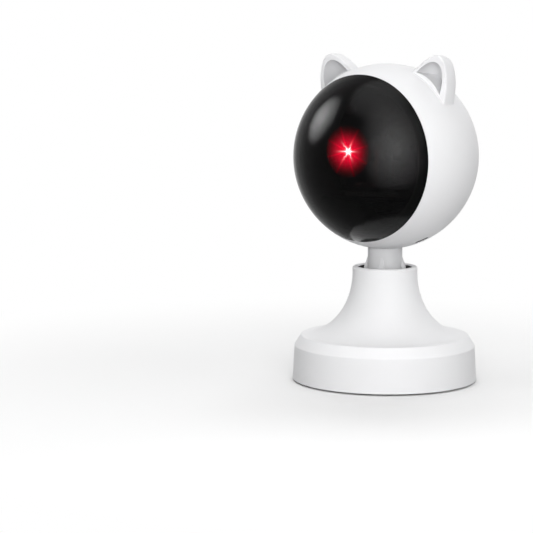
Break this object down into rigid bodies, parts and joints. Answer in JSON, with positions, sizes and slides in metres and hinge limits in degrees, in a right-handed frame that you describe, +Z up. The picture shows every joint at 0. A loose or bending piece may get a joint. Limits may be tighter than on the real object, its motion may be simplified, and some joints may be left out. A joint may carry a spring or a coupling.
{
  "type": "automatic cat laser toy",
  "caption": "Ball-shaped cat laser toy with ears and dark window on a ball-jointed stem and flared base; a motor-driven laser pans and tilts inside.",
  "frame": {"origin": "centre of the footprint at table height", "axes": "+Z up, -Y out of the dark window, +X to the toy's left"},
  "size_m": [0.08, 0.0805, 0.1415],
  "materials": {
    "white_shell": "satin",
    "smoked_window": "gloss",
    "grey_rubber": "matte",
    "zinc_screw": "satin",
    "plated_steel": "satin",
    "nylon": "matte",
    "stem_white": "satin",
    "frame_black": "matte",
    "circuit_board": "satin",
    "cell_wrap": "satin",
    "button_grey": "satin",
    "light_pipe": "gloss",
    "brass_barrel": "satin",
    "lens_glass": "gloss"
  },
  "bodies": {
    "base": {"base_shell": "white_shell", "base_plate": "white_shell", "rubber_feet": "grey_rubber", "base_screws": "zinc_screw", "ballast_weight": "plated_steel", "ballast_screw": "zinc_screw", "socket_retainer": "frame_black", "retainer_screws": "zinc_screw", "pressure_bush": "grey_rubber", "pressure_cup": "nylon"},
    "swivel_seat": {"ball_seat": "frame_black"},
    "stem": {"ball_stem": "stem_white", "stem_washer": "plated_steel", "stem_screw": "zinc_screw"},
    "head": {"head_shell": "white_shell", "front_window": "smoked_window", "rear_cover": "white_shell", "rear_cover_screws": "zinc_screw", "chassis": "frame_black", "chassis_screws": "zinc_screw", "main_board": "circuit_board", "main_board_screws": "zinc_screw", "battery_tray": "frame_black", "battery": "cell_wrap", "control_board": "circuit_board", "control_board_screws": "zinc_screw", "tact_switch": "frame_black", "usb_port": "plated_steel", "status_light": "light_pipe", "power_switch": "frame_black", "pan_motor": "plated_steel", "pan_shaft": "plated_steel"},
    "turret": {"pan_gear": "nylon", "yoke": "frame_black", "yoke_screws": "zinc_screw", "tilt_motor": "plated_steel"},
    "pan_drive": {"pan_motor_shaft": "plated_steel", "pan_pinion": "nylon"},
    "laser_cradle": {"tilt_cradle": "frame_black", "tilt_axles": "plated_steel", "laser_module": "brass_barrel", "laser_bezel": "frame_black", "laser_lens": "lens_glass"},
    "tilt_drive": {"tilt_motor_shaft": "plated_steel", "tilt_pinion": "nylon"},
    "button": {"mode_button": "button_grey"},
    "slider": {"power_slider": "frame_black"}
  },
  "joints": [
    {"name": "seat_swivel", "type": "hinge", "parent": "base", "child": "swivel_seat", "pos_m": [0, 0, 0.0405], "axis": [0, 0, 1], "continuous": true},
    {"name": "ball_tilt", "type": "hinge", "parent": "swivel_seat", "child": "stem", "pos_m": [0, 0, 0.0405], "axis": [1, 0, 0], "range_deg": [-15, 15]},
    {"name": "head_turn", "type": "hinge", "parent": "stem", "child": "head", "pos_m": [0, 0, 0.065], "axis": [0, 0, 1], "continuous": true},
    {"name": "laser_pan", "type": "hinge", "parent": "head", "child": "turret", "pos_m": [0, -0.013, 0.0976], "axis": [0, 0, 1], "range_deg": [-35, 35]},
    {"name": "pan_drive_spin", "type": "hinge", "parent": "head", "child": "pan_drive", "pos_m": [0.012, -0.013, 0.0976], "axis": [0, 0, 1], "range_deg": [-110, 110]},
    {"name": "laser_tilt", "type": "hinge", "parent": "turret", "child": "laser_cradle", "pos_m": [0, -0.013, 0.1011], "axis": [1, 0, 0], "range_deg": [-15, 20]},
    {"name": "tilt_drive_spin", "type": "hinge", "parent": "turret", "child": "tilt_drive", "pos_m": [0, -0.001, 0.1011], "axis": [1, 0, 0], "range_deg": [-65, 50]},
    {"name": "mode_press", "type": "slide", "parent": "head", "child": "button", "axis": [0, -1, 0], "range_m": [0, 0.0005], "stiffness_N_per_m": 150, "springref_m": -0.003},
    {"name": "power_slide", "type": "slide", "parent": "head", "child": "slider", "axis": [0.7163, 0.5721, 0.3995], "range_m": [0, 0.0028]}
  ],
  "couplings": [
    {"joint": "pan_drive_spin", "follows": "laser_pan", "ratio": -3},
    {"joint": "tilt_drive_spin", "follows": "laser_tilt", "ratio": -3}
  ]
}
